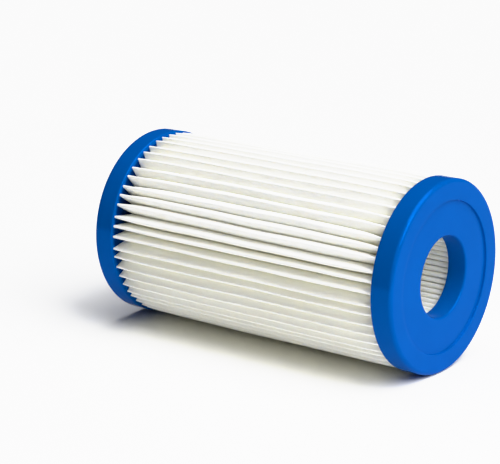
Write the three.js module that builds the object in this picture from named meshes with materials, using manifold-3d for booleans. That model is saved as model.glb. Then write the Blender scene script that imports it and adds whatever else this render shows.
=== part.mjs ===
// Pleated filter cartridge for a small pool pump: two cast end caps, one pleated sheet of
// polyester set into both, and the bead that glues the sheet's two ends together.
// Millimetres, +Z up. The cartridge lies on its side: its axis is X, the front cap is at +X,
// and the origin is on the axis, halfway along.

import * as THREE from "three";
import { mergeVertices } from "three/addons/utils/BufferGeometryUtils.js";
import Module from "manifold-3d";

// Driving dimensions
const LENGTH = 204; // over both end caps
const CAP_RADIUS = 54;
const CAP_HEIGHT = 13;
const BORE_RADIUS = 22.7;
const PLEATS = 54;

// End cap details
const RIM_ROUND = 3; // outer edge of the end face
const SKIRT_CHAMFER = 0.4; // edge beside the pleats
const RECESS_RADIUS = 42.2; // sunk middle of the end face
const RECESS_DEPTH = 1.3;
const RECESS_DRAFT = 0.3;
const MOUTH_ROUND = 1; // edge of the bore
const CAP_FACETS = 32; // the cartridge rests on one of them
const ROUND_STEPS = 3;

// Pleated sheet
const SHEET = 0.5; // thickness of the felt
const CREST_RADIUS = 52.6; // middle of the sheet, at the outer folds
const FOLD_RADIUS = 26; // middle of the sheet, at the inner folds
const HALF_FOLD = 0.75; // half the width of a fold's flat
const FIRST_CREST = THREE.MathUtils.degToRad(74.8); // from +Z towards -Y
const SET_IN = 7; // how far the sheet reaches into each cap
const SEAM_PLEAT = 28; // counted from the first crest

// Glue bead inside the seam pleat
const BEAD_WIDTH = 11; // from the crest inwards

const GAP = 0.3; // clearance between neighbouring pieces

const PITCH = (2 * Math.PI) / PLEATS;
const SEAM_ANGLE = FIRST_CREST + SEAM_PLEAT * PITCH;
const FREE_LENGTH = LENGTH - 2 * CAP_HEIGHT;
const SHEET_LENGTH = FREE_LENGTH + 2 * SET_IN;

const capBlue = { color: 0x0063d1, roughness: 0.34, metalness: 0 };
const feltWhite = { color: 0xf1efe6, roughness: 0.92, metalness: 0 };
const glueAmber = { color: 0xe6dcb8, roughness: 0.45, metalness: 0 };

const wasm = await Module();
wasm.setup();

// --- Helpers ---

function named(name, geometry, finish) {
  const mesh = new THREE.Mesh(geometry, new THREE.MeshStandardMaterial(finish));
  mesh.name = name;
  return mesh;
}

// Points on an arc, from one angle to another, both in degrees.
function arc(centreX, centreY, radius, from, to) {
  return Array.from({ length: ROUND_STEPS + 1 }, (_, step) => {
    const angle = THREE.MathUtils.degToRad(from + ((to - from) * step) / ROUND_STEPS);
    return [centreX + radius * Math.cos(angle), centreY + radius * Math.sin(angle)];
  });
}

function bare(geometry) {
  geometry.deleteAttribute("normal");
  geometry.deleteAttribute("uv");
  return mergeVertices(geometry);
}

function toSolid(geometry) {
  const merged = bare(geometry);
  return new wasm.Manifold(
    new wasm.Mesh({
      numProp: 3,
      vertProperties: merged.attributes.position.array,
      triVerts: new Uint32Array(merged.index.array),
    }),
  );
}

function toGeometry(solid) {
  const mesh = solid.getMesh();
  const geometry = new THREE.BufferGeometry();
  geometry.setAttribute("position", new THREE.BufferAttribute(mesh.vertProperties, 3));
  geometry.setIndex(new THREE.BufferAttribute(mesh.triVerts, 1));
  return geometry;
}

// A closed outline of [radius, height] points turned about the X axis. The radii are those
// of the facets' middles, so the flats lie at the stated size.
function turned(outline) {
  const toCorner = 1 / Math.cos(Math.PI / CAP_FACETS);
  const points = [...outline, outline[0]].map(([r, h]) => new THREE.Vector2(r * toCorner, h));
  const geometry = new THREE.LatheGeometry(points, CAP_FACETS, Math.PI / CAP_FACETS);
  const axisToX = new THREE.Matrix4().makeBasis(
    new THREE.Vector3(0, 0, 1),
    new THREE.Vector3(1, 0, 0),
    new THREE.Vector3(0, 1, 0),
  );
  return geometry.applyMatrix4(axisToX);
}

// A section in the YZ plane, drawn out along X and centred on the origin.
function drawnOut(section, length) {
  const geometry = new THREE.ExtrudeGeometry(new THREE.Shape(section), {
    depth: length,
    bevelEnabled: false,
  });
  const depthToX = new THREE.Matrix4().makeBasis(
    new THREE.Vector3(0, 1, 0),
    new THREE.Vector3(0, 0, 1),
    new THREE.Vector3(1, 0, 0),
  );
  return geometry.translate(0, 0, -length / 2).applyMatrix4(depthToX);
}

// --- Pleated sheet ---

// The two corners of one fold's flat, on a circle of the given radius.
function foldFlat(angle, radius) {
  const out = new THREE.Vector2(-Math.sin(angle), Math.cos(angle));
  const along = new THREE.Vector2(-Math.cos(angle), -Math.sin(angle));
  return [-HALF_FOLD, HALF_FOLD].map((shift) =>
    out.clone().multiplyScalar(radius).addScaledVector(along, shift),
  );
}

// Middle line of the sheet, once round from the seam to the seam. The seam pleat has no
// crest: the sheet's two ends stand side by side there.
function middleLine() {
  const line = [foldFlat(SEAM_ANGLE, CREST_RADIUS)[1]];
  for (let pleat = 0; pleat < PLEATS; pleat += 1) {
    const crest = SEAM_ANGLE + pleat * PITCH;
    if (pleat > 0) line.push(...foldFlat(crest, CREST_RADIUS));
    line.push(...foldFlat(crest + PITCH / 2, FOLD_RADIUS));
  }
  line.push(foldFlat(SEAM_ANGLE, CREST_RADIUS)[0]);
  return line;
}

function sideways(from, to) {
  const step = to.clone().sub(from).normalize();
  return new THREE.Vector2(-step.y, step.x);
}

// The line moved sideways by a distance, with mitred corners.
function offsetLine(line, distance) {
  return line.map((point, index) => {
    const before = line[Math.max(index - 1, 0)];
    const after = line[Math.min(index + 1, line.length - 1)];
    const normals = [];
    if (before !== point) normals.push(sideways(before, point));
    if (after !== point) normals.push(sideways(point, after));
    const middle = normals.reduce((sum, normal) => sum.add(normal), new THREE.Vector2());
    middle.normalize();
    return point.clone().addScaledVector(middle, distance / middle.dot(normals.at(-1)));
  });
}

// Section of the sheet, or of the slot it lies in, as one closed outline.
function sheetSection(thickness, endClearance) {
  const line = middleLine();
  const ends = [line.at(0), line.at(-1)];
  for (const end of ends) end.setLength(end.length() + endClearance);
  const inner = offsetLine(line, thickness / 2);
  const outer = offsetLine(line, -thickness / 2);
  return [...outer, ...inner.reverse()];
}

function pleatedSheet() {
  return named("pleated_media", drawnOut(sheetSection(SHEET, 0), SHEET_LENGTH), feltWhite);
}

function seamBead() {
  const thickness = 2 * HALF_FOLD - SHEET - 2 * GAP;
  const bead = new THREE.BoxGeometry(FREE_LENGTH - 2 * GAP, thickness, BEAD_WIDTH);
  const mesh = named("side_seam_bead", bead, glueAmber);
  const radius = CREST_RADIUS - BEAD_WIDTH / 2;
  mesh.position.set(0, -radius * Math.sin(SEAM_ANGLE), radius * Math.cos(SEAM_ANGLE));
  mesh.rotation.x = SEAM_ANGLE;
  return mesh;
}

// --- End caps ---

// Half section of a cap as [radius, height above the pleats' side].
function capOutline() {
  const recess = CAP_HEIGHT - RECESS_DEPTH;
  return [
    [CAP_RADIUS - SKIRT_CHAMFER, 0],
    [CAP_RADIUS, SKIRT_CHAMFER],
    ...arc(CAP_RADIUS - RIM_ROUND, CAP_HEIGHT - RIM_ROUND, RIM_ROUND, 0, 90),
    [RECESS_RADIUS + RECESS_DRAFT, CAP_HEIGHT],
    [RECESS_RADIUS, recess],
    ...arc(BORE_RADIUS + MOUTH_ROUND, recess - MOUTH_ROUND, MOUTH_ROUND, 90, 180),
    [BORE_RADIUS, 0],
  ];
}

// A cap cast round the pleats: it is placed first, and the slot is where the sheet lies.
function endCap(name, placement) {
  const cap = named(name, undefined, capBlue);
  cap.applyMatrix4(placement);
  cap.updateMatrix();
  const slot = drawnOut(sheetSection(SHEET + 2 * GAP, GAP), SHEET_LENGTH + 2 * GAP);
  slot.applyMatrix4(cap.matrix.clone().invert());
  cap.geometry = toGeometry(toSolid(turned(capOutline())).subtract(toSolid(slot)));
  return cap;
}

const frontPlace = new THREE.Matrix4().makeTranslation(FREE_LENGTH / 2, 0, 0);
const rearPlace = new THREE.Matrix4().makeRotationZ(Math.PI).multiply(frontPlace);

const cartridge = new THREE.Group();
cartridge.add(
  endCap("front_end_cap", frontPlace),
  endCap("rear_end_cap", rearPlace),
  pleatedSheet(),
  seamBead(),
);

export default cartridge;
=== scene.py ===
import math

import bpy
import numpy as np
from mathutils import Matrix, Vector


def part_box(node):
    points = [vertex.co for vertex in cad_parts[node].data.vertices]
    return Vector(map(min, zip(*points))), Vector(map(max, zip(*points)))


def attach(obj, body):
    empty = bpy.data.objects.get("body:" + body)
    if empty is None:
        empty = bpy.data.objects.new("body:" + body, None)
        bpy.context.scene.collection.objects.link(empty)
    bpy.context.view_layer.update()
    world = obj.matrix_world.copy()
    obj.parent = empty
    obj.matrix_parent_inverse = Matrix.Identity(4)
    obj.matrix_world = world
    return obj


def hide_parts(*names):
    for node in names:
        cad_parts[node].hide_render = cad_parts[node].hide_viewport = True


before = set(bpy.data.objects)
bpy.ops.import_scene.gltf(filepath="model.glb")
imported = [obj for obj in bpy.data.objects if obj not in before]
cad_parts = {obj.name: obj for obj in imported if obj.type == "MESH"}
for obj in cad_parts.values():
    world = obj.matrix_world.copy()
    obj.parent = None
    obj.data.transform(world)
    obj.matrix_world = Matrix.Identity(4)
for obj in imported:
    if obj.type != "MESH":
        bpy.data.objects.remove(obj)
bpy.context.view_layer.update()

MM = 0.001
SHARP_ANGLE = math.radians(58)  # edges that turn more than this are shaded sharp

# Places from the frame. The cartridge lies on its side: its axis is X, the front cap is at +X.
front_low, front_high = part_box("front_end_cap")
CAP_RADIUS = front_high[2]
CAP_HEIGHT = front_high[0] - front_low[0]
FREE_END = front_low[0]  # the caps' inner faces are at plus and minus this
SHEET_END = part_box("pleated_media")[1][0]
FLOOR = front_low[2]

# End cap
BORE_RADIUS = 22.7 * MM
RIM_ROUND = 2.3 * MM
SKIRT_ROUND = 0.7 * MM
RECESS_RADIUS = 42.2 * MM
RECESS_DEPTH = 1.3 * MM
RECESS_ROUND = 0.25 * MM
RECESS_DRAFT = 0.15 * MM  # how much wider the recess is at its top
MOUTH_ROUND = 1.0 * MM
BACK_ROUND = 0.8 * MM
MENISCUS_RISE = 0.7 * MM  # how far the resin climbs the felt
MENISCUS_REACH = 0.6 * MM
PAINTED_SHADE_FROM = 1.6 * MM  # how far inside the crests the painted shade, a darker blue, starts
STEPS_PER_PLEAT = 12  # round the cap
INNER_RINGS = 28  # across its inner face

# Pleats. Angles run from +Z towards -Y.
PLEATS = 54
PITCH = 2 * math.pi / PLEATS
FIRST_CREST = math.radians(74.8)
SEAM_PLEAT = 28  # counted from the first crest
SEAM_ANGLE = FIRST_CREST + SEAM_PLEAT * PITCH
SHEET = 0.5 * MM
CREST_RADIUS = 53.4 * MM  # middle of the sheet, halfway between the caps
CREST_TUCK = 0.7 * MM  # how much further in the crests are at the caps
CREST_ROUND = 0.45 * MM
CREST_HEIGHT = 0.6 * MM  # how far down from the top the two flanks start to part
MEETING_RADIUS = 38.5 * MM  # inside this, neighbouring flanks lie together at the caps
SWELL_REACH = 7.5 * MM  # how far from a cap the swelling takes
# How deep each gap stays open between the caps, in millimetres below the crests, for the gaps
# after the crests of UNEVEN; the others are near the last one
OPEN_DEPTHS = (5.0, 5.0, 5.0, 4.5, 4.0, 3.5, 3.2, 3.0, 3.0, 4.0)
OPEN_DEPTHS += (6.0, 8.0, 10.0, 10.0, 9.5, 9.0, 8.0, 7.5, 7.0, 7.0)
FOLD_RADIUS = 26.0 * MM
FOLD_ROUND = 1.1 * MM  # of the loose inner folds
LAID_TOGETHER = 0.3 * MM  # half the distance between the middles of two touching flanks
DROP_REACH = 4.0 * MM  # how far from an inner fold its two flanks lie apart
EVEN_FOLDS = 0.65  # how much more evenly the inner folds stand than the crests
FLANK_BULGE = 1.5  # of the free pleats: above 1, the flanks swing out quickly
BULGE_LOST = 0.75  # at the caps, which hold the pleats straight
SEAM_LAP = 11.5 * MM  # how far down the sheet's two ends stand side by side
SEAM_LEAN = 0.3 * MM  # how much lower their inner edges are, per radian of the other crests' turn
BELOW_SEAM = 3.0 * MM  # how much deeper than elsewhere the flanks at the seam meet
CLEAR_OF_RESIN = 0.3 * MM  # from the caps' inner faces to the nearest sections of the sheet
SECTIONS = 24  # between the caps
# Places of a flank's points: millimetres down from the crest, then distances from the axis
FLANK_DEPTHS = (1.3, 2.6, 4.2, 6.2, 8.6, 11.5)
FLANK_RADII = (38.0, 32.0, 29.8, 28.2)
# How far single crests stand off their even places, in degrees, from eleven before the first
UNEVEN = (0.0, 0.3, -0.2, 0.4, 0.0, -0.3, 0.3, 0.1, 0.6, -0.1)
UNEVEN += (-0.6, 0.6, -0.1, -0.1, 1.0, -0.2, 0.4, 0.7, 1.2, 1.5)
UNEVEN_FROM = -11
TWIST = math.radians(5.3)  # per metre of length

# Random differences between pleats. A pair is the longest wave along the cartridge and its size.
CREST_SPREAD = math.radians(0.32)
DEPTH_SPREAD = 0.6  # millimetres
BULGE_SPREAD = 0.1
SWAY = (150 * MM, math.radians(0.22))
RISE = (180 * MM, 0.12 * MM)
BULGE_WAVER = (130 * MM, 0.12)

# Seam bead. BEAD_TOP and BEAD_FOOT are the waves of its edges, given as such pairs.
BEAD_DEPTH = 11.0 * MM
BEAD_BELOW_CREST = 0.35 * MM
BEAD_HALF = 0.19 * MM
BEAD_FLATNESS = 0.35  # power of the sine: below 1, the loop's sides are flatter
BEAD_IN_CAP = 2.0 * MM
BEAD_TOP = (40 * MM, 0.14 * MM)
BEAD_FOOT = (60 * MM, 0.5 * MM)
BEAD_SECTIONS = 120
BEAD_CORNERS = 20

BRIGHTEST = 2.5  # scene brightness that is shown as white
NEARLY_WHITE = 0.99
# Scene brightness and what it is shown as
SHOULDER = ((0.6, 0.6), (0.7, 0.71), (0.8, 0.82), (0.92, 0.895), (1.1, 0.938), (1.5, 0.968))

rng = np.random.default_rng(7)


# ---------------------------------------------------------------- surfaces


def grid_faces(rows, columns, closed_rows=False, closed_columns=False):
    """Quads between neighbouring points of a grid that is numbered row by row. A closed
    direction joins its last line of points to its first."""
    i = np.arange(rows if closed_rows else rows - 1)[:, None]
    j = np.arange(columns if closed_columns else columns - 1)[None, :]
    below, right = (i + 1) % rows, (j + 1) % columns
    corners = (i * columns + j, i * columns + right, below * columns + right, below * columns + j)
    return np.stack(np.broadcast_arrays(*corners), axis=-1).reshape(-1, 4)


def new_piece(name, points, faces, material, stands_for, flip=False, uv=None):
    """One mesh at the origin from points (any shape, then x y z) and quads, riding on the
    cartridge and standing for one CAD node. uv gives each point its place on the flat sheet."""
    points = points.reshape(-1, 3)
    faces = faces[:, ::-1] if flip else faces
    mesh = bpy.data.meshes.new(name)
    mesh.from_pydata(points.tolist(), [], faces.tolist())
    if uv is not None:
        layer = mesh.uv_layers.new(name="Flat")
        corner = np.empty(len(mesh.loops), np.int32)
        mesh.loops.foreach_get("vertex_index", corner)
        layer.data.foreach_set("uv", uv.reshape(-1, 2)[corner].astype(np.float32).ravel())
    mesh.polygons.foreach_set("use_smooth", np.ones(len(faces), bool))
    mesh.set_sharp_from_angle(angle=SHARP_ANGLE)
    mesh.materials.append(material)
    piece = bpy.data.objects.new(name, mesh)
    bpy.context.scene.collection.objects.link(piece)
    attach(piece, "root")
    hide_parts(stands_for)
    return piece


def add_point_value(piece, name, values):
    attribute = piece.data.attributes.new(name, "FLOAT", "POINT")
    attribute.data.foreach_set("value", values.astype(np.float32).ravel())


def round_the_axis(x, radius, angle):
    """Points at a distance along X, a radius from the axis and an angle from +Z towards -Y."""
    return np.stack(
        np.broadcast_arrays(x, -radius * np.sin(angle), radius * np.cos(angle)), axis=-1
    )


def arc(centre, radius, start, end, steps):
    """Points on a circle from one angle to another, in degrees, both ends included."""
    angle = np.radians(np.linspace(start, end, steps + 1))
    return np.stack([centre[0] + radius * np.cos(angle), centre[1] + radius * np.sin(angle)], 1)


def line(start, end, steps):
    """Evenly spaced points between two points, both left out."""
    share = np.linspace(0, 1, steps + 1)[1:-1, None]
    return (1 - share) * np.array(start) + share * np.array(end)


def wander(count, x, longest, size):
    """Smooth random lines along x, one row each: three sine waves of falling length and
    height with random phases, scaled so that most stay within the size."""
    waves = np.arange(1, 4)[:, None, None]
    phase = rng.uniform(0, 2 * math.pi, (3, count, 1))
    stretch = rng.uniform(0.8, 1.25, (3, count, 1))
    return size * (np.sin(2 * math.pi * waves * stretch * x / longest + phase) / waves).sum(0)


# ---------------------------------------------------------------- pleats


def crest_angles(x):
    """Angle of each crest at each place along x, shape (sections, PLEATS + 1). An even
    spacing, a fixed offset of its own, a slight common twist, and a sway between the caps
    that dies out where the caps hold the sheet. The last crest is the first again."""
    offset = rng.normal(0, CREST_SPREAD, PLEATS)
    offset[open_gaps()] = np.radians(UNEVEN)
    offset[0] = 0
    free = 1 - np.clip(np.abs(x) / FREE_END, 0, 1) ** 4
    sway = wander(PLEATS, x, *SWAY) * free
    angle = SEAM_ANGLE + PITCH * np.arange(PLEATS) + offset + sway.T + TWIST * x[:, None]
    return np.concatenate([angle, angle[:, :1] + 2 * math.pi], axis=1)


def crest_radii(x):
    """Radius of each crest: lower at the caps, by a tuck that dies out exponentially, and
    sinking or rising a little between them."""
    free = 1 - np.clip(np.abs(x) / FREE_END, 0, 1) ** 4
    rise = wander(PLEATS, x, *RISE) * free
    tuck = CREST_TUCK * np.exp(-np.maximum(FREE_END - np.abs(x), 0) / SWELL_REACH)
    radius = CREST_RADIUS + rise.T - tuck[:, None]
    return np.concatenate([radius, radius[:, :1]], axis=1)


def meeting_radii(x):
    """Radius at which the flanks beside each gap meet, shape (sections, PLEATS): it grows
    quickly away from the caps, as one less an exponential of the distance, because the free
    pleats swell, and each gap closes at a depth of its own."""
    depth = rng.normal(OPEN_DEPTHS[-1], DEPTH_SPREAD, PLEATS) * MM
    depth[open_gaps()] = np.array(OPEN_DEPTHS) * MM
    distance = np.maximum(FREE_END - np.abs(x), 0)[:, None]
    share = 1 - np.exp(-distance / SWELL_REACH)
    return MEETING_RADIUS + (CREST_RADIUS - depth - MEETING_RADIUS) * share


def open_gaps():
    """Which crests, counted from the seam, UNEVEN and OPEN_DEPTHS speak of."""
    return (np.arange(len(UNEVEN)) + UNEVEN_FROM - SEAM_PLEAT) % PLEATS


def flank_angle(radius, crest, crest_radius, gap_middle, side, start, meeting, bulge):
    """Angle of one flank at a radius. Under the crest it is half a fold beside the crest's
    middle; from there it swings over, quickly at first, until it meets its neighbour in the
    middle of the gap, and near the inner fold the two part again in a drop. side is 1 for the
    flank after the crest and -1 for the one before."""
    depth = (crest_radius - start - radius) / (crest_radius - start - meeting)
    share = 1 - (1 - np.clip(depth, 0, 1)) ** bulge
    beside_crest = crest + side * CREST_ROUND / radius
    opening = 1 - np.clip((radius - FOLD_RADIUS - FOLD_ROUND) / DROP_REACH, 0, 1)
    opening = opening * opening * (3 - 2 * opening)
    half_gap = LAID_TOGETHER + (FOLD_ROUND - LAID_TOGETHER) * opening
    beside_gap = gap_middle - side * half_gap / radius
    return (1 - share) * beside_crest + share * beside_gap


def gap_middles(crest, radius):
    """Middle of the gap after each crest: halfway between the crests outside, and closer to
    the even spacing at the inner folds."""
    halfway = (crest[:, :-1] + crest[:, 1:]) / 2
    twist = crest[:, :1] - SEAM_ANGLE
    even = SEAM_ANGLE + PITCH * (np.arange(PLEATS) + 0.5) + twist
    share = np.clip((radius - FOLD_RADIUS) / (MEETING_RADIUS - FOLD_RADIUS), 0, 1)
    return even + (1 - EVEN_FOLDS + EVEN_FOLDS * share) * (halfway - even)


def sheet_middle(x, crest, crest_radius, meeting, bulges):
    """Middle of the sheet in each section, as radius and angle, from the seam once round to
    the seam. Each gap has half a crest, a flank down, an inner fold, a flank up and half a
    crest. At the seam there is no crest: the two ends of the sheet stand side by side."""
    radii, angles = [], []
    left, right = crest[:, :-1], crest[:, 1:]
    left_radius, right_radius = crest_radius[:, :-1], crest_radius[:, 1:]
    first, last = np.arange(PLEATS) == 0, np.arange(PLEATS) == PLEATS - 1

    def half_crest(middle, radius, at_seam, side, turns):
        for turn in np.radians(turns):
            on_arc = radius - CREST_ROUND * (1 - math.cos(turn))
            on_end = radius - SEAM_LEAN * turn
            r = np.where(at_seam, on_end, on_arc)
            beside = np.where(at_seam, CREST_ROUND, CREST_ROUND * math.sin(turn))
            radii.append(r)
            angles.append(middle + side * beside / r)

    def flank(middle, radius, at_seam, side, bulge, order):
        start = np.where(at_seam, SEAM_LAP, CREST_HEIGHT)
        closed = np.where(at_seam, MEETING_RADIUS - BELOW_SEAM, meeting)
        places = [radius - depth * MM for depth in FLANK_DEPTHS]
        places += [np.full(radius.shape, place * MM) for place in FLANK_RADII]
        for r in places[::order]:
            gap = gap_middles(crest, r)
            radii.append(r)
            angles.append(flank_angle(r, middle, radius, gap, side, start, closed, bulge))

    half_crest(left, left_radius, first, 1, (0, 30, 60, 90))
    flank(left, left_radius, first, 1, bulges[0], order=1)
    for turn in np.radians((-90, -45, 0, 45, 90)):
        r = np.full(left.shape, FOLD_RADIUS + FOLD_ROUND * (1 - math.cos(turn)))
        radii.append(r)
        angles.append(gap_middles(crest, r) + FOLD_ROUND * math.sin(turn) / r)
    flank(right, right_radius, last, -1, bulges[1], order=-1)
    half_crest(right, right_radius, last, -1, (90, 60, 30))
    radius = np.stack(radii, axis=2).reshape(len(x), -1)
    angle = np.stack(angles, axis=2).reshape(len(x), -1)
    end_radius = right_radius[:, -1:]
    end_angle = right[:, -1:] - CREST_ROUND / end_radius
    return np.hstack([radius, end_radius]), np.hstack([angle, end_angle])


def make_pleats(material):
    """The felt as one closed sheet: its middle line in each section, moved sideways by half
    its thickness each way, out along the outer side and back along the inner one."""
    buried = [SHEET_END, FREE_END + CLEAR_OF_RESIN]
    even = np.linspace(-1, 1, SECTIONS)
    free = (even + np.sin(even * math.pi / 2)) / 2  # closer together near the caps
    free *= FREE_END - CLEAR_OF_RESIN
    x = np.concatenate([[-buried[0], -buried[1]], free, buried[::-1]])
    crest, crest_radius = crest_angles(x), crest_radii(x)
    held = np.exp(-np.maximum(FREE_END - np.abs(x), 0) / SWELL_REACH)[:, None]
    bulges = [
        FLANK_BULGE
        - BULGE_LOST * held
        + wander(PLEATS, x, *BULGE_WAVER).T * (1 - held)
        + rng.normal(0, BULGE_SPREAD, PLEATS)
        for _ in range(2)
    ]
    radius, angle = sheet_middle(x, crest, crest_radius, meeting_radii(x), bulges)
    middle = round_the_axis(x[:, None], radius, angle)

    along = np.gradient(middle[..., 1:], axis=1)
    along /= np.linalg.norm(along, axis=2, keepdims=True)
    outwards = np.stack([np.zeros_like(radius), along[..., 1], -along[..., 0]], axis=-1)
    outer = middle + outwards * SHEET / 2
    inner = middle - outwards * SHEET / 2
    points = np.concatenate([outer, inner[:, ::-1]], axis=1)

    rows, columns = points.shape[:2]
    count = middle.shape[1]
    faces = grid_faces(rows, columns, closed_columns=True)
    j = np.arange(count - 1)
    rear = np.stack([j, 2 * count - 1 - j, 2 * count - 2 - j, j + 1], axis=1)
    front = rear[:, ::-1] + (rows - 1) * columns
    faces = np.concatenate([faces, rear, front])

    steps = np.linalg.norm(np.diff(middle[rows // 2], axis=0), axis=1)
    developed = np.concatenate([[0], np.cumsum(steps)])
    v = np.concatenate([developed, developed[::-1]])
    uv = np.stack(np.broadcast_arrays(x[:, None], v[None, :]), axis=-1)
    felt = new_piece(
        "pleated_felt", points, faces, material, "pleated_media", uv=uv
    )
    below_crest = (CREST_RADIUS - np.concatenate([radius, radius[:, ::-1]], axis=1)) / MM
    add_point_value(felt, "below_crest", np.clip(below_crest, 0, 30))
    return felt, developed[-1], crest, crest_radius, bulges


def make_seam_bead(material):
    """Glue between the two ends of the sheet: a thin strip whose section is a flattened
    loop, squeezed out in small waves along the crest."""
    x = np.linspace(-1, 1, BEAD_SECTIONS) * (FREE_END + BEAD_IN_CAP)
    turn = (np.arange(BEAD_CORNERS) + 0.5) * 2 * math.pi / BEAD_CORNERS
    top = CREST_RADIUS - BEAD_BELOW_CREST + wander(1, x, *BEAD_TOP)[0]
    bottom = CREST_RADIUS - BEAD_DEPTH + wander(1, x, *BEAD_FOOT)[0]
    height = (np.cos(turn) + 1) / 2
    radius = bottom[:, None] + (top - bottom)[:, None] * height
    half = BEAD_HALF * np.sign(np.sin(turn)) * np.abs(np.sin(turn)) ** BEAD_FLATNESS
    angle = SEAM_ANGLE + TWIST * x[:, None] + half / radius
    points = round_the_axis(x[:, None], radius, angle)
    faces = grid_faces(*points.shape[:2], closed_columns=True)
    j = np.arange(BEAD_CORNERS // 2 - 1)
    rear = np.stack([j, BEAD_CORNERS - 1 - j, BEAD_CORNERS - 2 - j, j + 1], axis=1)
    front = rear[:, ::-1] + (BEAD_SECTIONS - 1) * BEAD_CORNERS
    faces = np.concatenate([faces, rear, front])
    return new_piece("seam_bead", points, faces, material, "side_seam_bead")


# ---------------------------------------------------------------- end caps


def cap_profile():
    """Half section of a cap as radius and height above its inner face, from the bore's inner
    end up the bore, over the sunk face and the rim, and down the outside. Rounds are arcs."""
    top = CAP_HEIGHT
    sunk = top - RECESS_DEPTH
    mouth = (BORE_RADIUS + MOUTH_ROUND, sunk - MOUTH_ROUND)
    back = (BORE_RADIUS + BACK_ROUND, BACK_ROUND)
    step_low = (RECESS_RADIUS - RECESS_ROUND, sunk + RECESS_ROUND)
    step_high = (RECESS_RADIUS + RECESS_ROUND + RECESS_DRAFT, top - RECESS_ROUND)
    rim = (CAP_RADIUS - RIM_ROUND, top - RIM_ROUND)
    skirt = (CAP_RADIUS - SKIRT_ROUND, SKIRT_ROUND)
    return np.concatenate(
        [
            arc(back, BACK_ROUND, 270, 180, 4),
            line((BORE_RADIUS, back[1]), (BORE_RADIUS, mouth[1]), 6),
            arc(mouth, MOUTH_ROUND, 180, 90, 8),
            line((mouth[0], sunk), (step_low[0], sunk), 8),
            arc(step_low, RECESS_ROUND, 270, 355, 4),
            arc(step_high, RECESS_ROUND, 175, 90, 4),
            line((step_high[0], top), (rim[0], top), 4),
            arc(rim, RIM_ROUND, 90, 0, 10),
            line((CAP_RADIUS, rim[1]), (CAP_RADIUS, skirt[1]), 5),
            arc(skirt, SKIRT_ROUND, 0, -90, 4),
        ]
    )


def meniscus(radius, angle, crest, crest_radius, bulges):
    """How far the resin climbs towards the middle, on a grid of radius and angle: most at the
    felt, dying out beside it as a bell curve of the distance to the nearest flank."""
    gap = gap_middles(crest[None], radius[:, None])
    seam = np.arange(PLEATS)
    flanks = []
    for side, shift, at_seam in ((1, 0, seam == 0), (-1, 1, seam == PLEATS - 1)):
        start = np.where(at_seam, SEAM_LAP, CREST_HEIGHT)
        middle = crest[shift : PLEATS + shift]
        height = crest_radius[shift : PLEATS + shift]
        flanks.append(
            flank_angle(
                radius[:, None],
                middle,
                height,
                gap,
                side,
                start,
                MEETING_RADIUS,
                bulges[shift],
            )
        )
    flank = np.concatenate(flanks, axis=1)[:, None, :]
    apart = np.abs((angle[None, :, None] - flank + math.pi) % (2 * math.pi) - math.pi)
    distance = radius[:, None] * apart.min(axis=2)
    beyond_felt = np.maximum(distance - SHEET / 2, 0)
    inside_pleats = np.clip((CREST_RADIUS - radius) / MM, 0, 1)[:, None]
    return MENISCUS_RISE * np.exp(-((beyond_felt / MENISCUS_REACH) ** 2)) * inside_pleats


def make_cap(name, node, material, direction, crest, crest_radius, bulges):
    """A cap: its half section turned about the axis, and between the section's two ends the
    inner face, level but for the resin's climb beside the felt."""
    angle = np.linspace(0, 2 * math.pi, PLEATS * STEPS_PER_PLEAT, endpoint=False)
    section = cap_profile()
    inner_radius = np.linspace(section[-1, 0], section[0, 0], INNER_RINGS)[1:-1]
    climb = meniscus(inner_radius, angle, crest, crest_radius, bulges)
    radius = np.concatenate([section[:, 0], inner_radius])[:, None]
    height = np.concatenate([np.repeat(section[:, 1:], len(angle), axis=1), -climb])
    points = round_the_axis(direction * (FREE_END + height), radius, angle[None, :])
    faces = grid_faces(*points.shape[:2], closed_rows=True, closed_columns=True)
    cap = new_piece(name, points, faces, material, node, flip=direction > 0)
    inner_face = np.arange(len(radius)) >= len(section)
    # painted shade: marks the inner face between the pleats, which the finish paints a darker
    # blue to stand in for the shade there
    between = inner_face & (radius[:, 0] < CREST_RADIUS - PAINTED_SHADE_FROM)
    add_point_value(cap, "painted_shade_between_pleats", np.repeat(between, len(angle)))
    return cap


# ---------------------------------------------------------------- finishes


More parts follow.
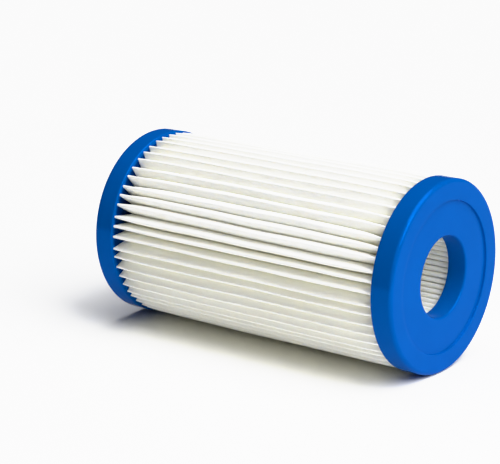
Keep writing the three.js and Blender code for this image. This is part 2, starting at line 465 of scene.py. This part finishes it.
class Finish:
    """A material and short ways to add and join its nodes."""

    def __init__(self, name, colour, roughness, specular, tint=(1, 1, 1)):
        self.material = bpy.data.materials.new(name)
        self.material.use_nodes = True
        self.nodes = self.material.node_tree.nodes
        self.links = self.material.node_tree.links
        self.shader = self.nodes["Principled BSDF"]
        self.set(self.shader, "Base Color", (*colour, 1))
        self.set(self.shader, "Roughness", roughness)
        self.set(self.shader, "Specular IOR Level", specular)
        self.set(self.shader, "Specular Tint", (*tint, 1))

    def set(self, node, socket, value):
        """Joins a value that is another node's output, and sets one that is a constant."""
        if isinstance(value, bpy.types.NodeSocket):
            self.links.new(value, node.inputs[socket])
        else:
            node.inputs[socket].default_value = value

    def add(self, kind, output=0, props=(), **sockets):
        """A node of that kind with its properties and sockets set; gives one output."""
        node = self.nodes.new("ShaderNode" + kind)
        for key, value in dict(props).items():
            setattr(node, key, value)
        for key, value in sockets.items():
            self.set(node, int(key[1:]) if key[1:].isdigit() else key, value)
        return node.outputs[output]

    def place(self):
        return self.add("TexCoord", "Object")

    def flat(self):
        return self.add("UVMap", 0, {"uv_map": "Flat"})

    def scaled(self, vector, scale, turn=0.0):
        return self.add(
            "Mapping", 0, Vector=vector, Scale=scale, Rotation=(0, 0, math.radians(turn))
        )

    def noise(self, vector, scale, detail=2.0, rough=0.5):
        return self.add(
            "TexNoise", 0, Vector=vector, Scale=scale, Detail=detail, Roughness=rough
        )

    def remap(self, value, low, high, to_low, to_high, smooth=False):
        kind = {"interpolation_type": "SMOOTHSTEP" if smooth else "LINEAR"}
        return self.add("MapRange", 0, kind, _0=value, _1=low, _2=high, _3=to_low, _4=to_high)

    def maths(self, operation, a, b):
        return self.add("Math", 0, {"operation": operation}, _0=a, _1=b)

    def blend(self, share, a, b):
        node = self.nodes.new("ShaderNodeMix")
        node.data_type = "RGBA"
        self.set(node, "Factor", share)
        for socket, value in (("A", a), ("B", b)):
            target = next(s for s in node.inputs if s.name == socket and s.type == "RGBA")
            if isinstance(value, bpy.types.NodeSocket):
                self.links.new(value, target)
            else:
                target.default_value = (*value, 1)
        return next(s for s in node.outputs if s.type == "RGBA")

    def bump(self, height, distance, strength=1.0, normal=None):
        sockets = {"Height": height, "Distance": distance, "Strength": strength}
        if normal is not None:
            sockets["Normal"] = normal
        return self.add("Bump", 0, **sockets)


def cap_plastic():
    """Cast blue resin: smooth, with a faint unevenness from the mould, and painted shade: a
    darker blue on the inner face between the pleats, where shade falls."""
    finish = Finish("cap_plastic", (0.0, 0.081, 0.35), 0.12, 0.01, tint=(0.1, 0.5, 1.0))
    place = finish.place()
    finish.set(finish.shader, "Metallic", 0.15)
    cloud = finish.remap(finish.noise(place, 55, 3), 0.3, 0.7, 0, 1, smooth=True)
    skin = finish.blend(cloud, (0, 0.079, 0.343), (0, 0.083, 0.357))
    # painted shade: a darker blue on the inner face between the pleats stands in for the shade
    # that falls there
    between = finish.add("Attribute", "Fac", {"attribute_name": "painted_shade_between_pleats"})
    finish.set(finish.shader, "Base Color", finish.blend(between, skin, (0, 0.035, 0.19)))
    fine = finish.noise(place, 900, 2)
    finish.set(finish.shader, "Roughness", finish.remap(fine, 0.3, 0.7, 0.1, 0.13))
    dimpled = finish.bump(finish.noise(place, 420, 2), 0.03 * MM, 0.25)
    finish.set(finish.shader, "Normal", dimpled)
    return finish.material


def filter_felt():
    """Bonded polyester: a mat of fine fibres with thin and thick clouds in it, and short
    creases where it was folded over the crests."""
    finish = Finish("filter_felt", (0.94, 0.935, 0.905), 0.92, 0.1)
    finish.set(finish.shader, "Subsurface Weight", 1.0)
    finish.set(finish.shader, "Subsurface Radius", (1.0, 0.96, 0.88))
    finish.set(finish.shader, "Subsurface Scale", 0.4 * MM)
    flat = finish.flat()
    cloud = finish.noise(finish.scaled(flat, (1, 1, 1)), 420, 4, 0.6)
    colour = finish.blend(
        finish.remap(cloud, 0.35, 0.65, 0, 1), (0.97, 0.963, 0.885), (0.985, 0.978, 0.91)
    )
    finish.set(finish.shader, "Base Color", colour)
    fibres = [
        finish.noise(finish.scaled(flat, (260, 4200, 1), turn), 1, 2) for turn in (25, -35, 80)
    ]
    mat = finish.maths("ADD", finish.maths("ADD", fibres[0], fibres[1]), fibres[2])
    mat = finish.bump(mat, 0.05 * MM, 0.3)
    below = finish.add("Attribute", "Fac", {"attribute_name": "below_crest"})
    edge = finish.add(
        "TexVoronoi",
        "Distance",
        {"feature": "DISTANCE_TO_EDGE"},
        Vector=finish.scaled(flat, (140, 22, 1)),
        Scale=1.0,
    )
    crease = finish.remap(edge, 0.0, 0.06, 1, 0, smooth=True)
    near_crest = finish.remap(below, 0.2, 3.5, 1, 0, smooth=True)
    crease = finish.maths("MULTIPLY", crease, near_crest)
    finish.set(finish.shader, "Normal", finish.bump(crease, -0.15 * MM, 0.5, mat))
    return finish.material


def seam_glue():
    """Hot-melt glue gone off-white, smooth and slightly clear."""
    finish = Finish("seam_glue", (0.80, 0.74, 0.55), 0.42, 0.4)
    place = finish.place()
    cloud = finish.noise(place, 260, 2)
    finish.set(
        finish.shader,
        "Base Color",
        finish.blend(cloud, (0.74, 0.67, 0.46), (0.84, 0.80, 0.64)),
    )
    finish.set(finish.shader, "Normal", finish.bump(finish.noise(place, 700, 2), 0.1 * MM, 0.4))
    return finish.material


# ---------------------------------------------------------------- studio


def make_camera():
    data = bpy.data.cameras.new("camera")
    data.lens = 144.08
    data.sensor_width = 36
    camera = bpy.data.objects.new("camera", data)
    camera.location = (0.6401, -0.8850, 0.3138)
    camera.rotation_euler = (math.pi / 2 - 0.2728, 0, 0.6483)
    bpy.context.scene.collection.objects.link(camera)
    bpy.context.scene.camera = camera


def aimed(name, data, place, roll=0.0):
    """A light at a place, turned to shine at the cartridge and rolled about its beam."""
    light = bpy.data.objects.new(name, data)
    light.location = place
    towards = -light.location
    light.rotation_euler = towards.to_track_quat("-Z", "Y").to_euler()
    light.rotation_euler.rotate_axis("Z", roll)
    bpy.context.scene.collection.objects.link(light)


def make_sun(name, strength, spread, place):
    data = bpy.data.lights.new(name, "SUN")
    data.energy = strength
    data.angle = math.radians(spread)
    aimed(name, data, place)


def set_exposure():
    """A camera's response: straight through the darks and middle tones, then a soft
    shoulder, so that white surfaces well above full brightness still show their folds."""
    view = bpy.context.scene.view_settings
    view.view_transform = "Standard"
    view.use_curve_mapping = True
    mapping = view.curve_mapping
    mapping.white_level = (BRIGHTEST,) * 3
    curve = mapping.curves[3]
    for brightness, shown in SHOULDER:
        curve.points.new(brightness / BRIGHTEST, shown)
    curve.points[0].location = (0, 0)
    curve.points[-1].location = (1, NEARLY_WHITE)
    mapping.update()


def make_studio():
    set_exposure()
    bpy.context.scene.cycles.max_bounces = 24
    bpy.context.scene.cycles.diffuse_bounces = 16
    world = bpy.data.worlds.new("studio")
    world.use_nodes = True
    background = world.node_tree.nodes["Background"]
    background.inputs["Color"].default_value = (1, 1, 1, 1)
    background.inputs["Strength"].default_value = 0.03
    bpy.context.scene.world = world
    make_sun("overhead", 2.6, 55, (0.15, 0.1, 1.0))
    make_sun("side", 2.6, 55, (0.95, 0.12, 1.0))
    box = bpy.data.lights.new("softbox", "AREA")
    box.shape = "RECTANGLE"
    box.energy = 1.0
    box.size = 0.3
    box.size_y = 0.03
    aimed("softbox", box, (0.52, -0.12, 0.36), math.radians(43))
    fill = bpy.data.lights.new("fill", "AREA")
    fill.energy = 0.5
    fill.size = 0.4
    aimed("fill", fill, (0.38, -0.4, 0.36))

    corners = np.array([[-4, -0.5, FLOOR], [4, -0.5, FLOOR], [4, 12, FLOOR], [-4, 12, FLOOR]])
    mesh = bpy.data.meshes.new("floor")
    mesh.from_pydata(corners.tolist(), [], [(0, 1, 2, 3)])
    paper = Finish("white_paper", (0.9, 0.9, 0.9), 0.95, 0.1)
    mesh.materials.append(paper.material)
    floor = bpy.data.objects.new("floor", mesh)
    bpy.context.scene.collection.objects.link(floor)


# ---------------------------------------------------------------- the cartridge

make_camera()
make_studio()
blue = cap_plastic()
felt_finish = filter_felt()
glue = seam_glue()

felt, felt_length, crest, crest_radius, bulges = make_pleats(felt_finish)
at_front = (crest[-2], crest_radius[-2], [bulge[-2] for bulge in bulges])
at_rear = (crest[1], crest_radius[1], [bulge[1] for bulge in bulges])
make_cap("front_cap", "front_end_cap", blue, 1, *at_front)
make_cap("rear_cap", "rear_end_cap", blue, -1, *at_rear)
make_seam_bead(glue)
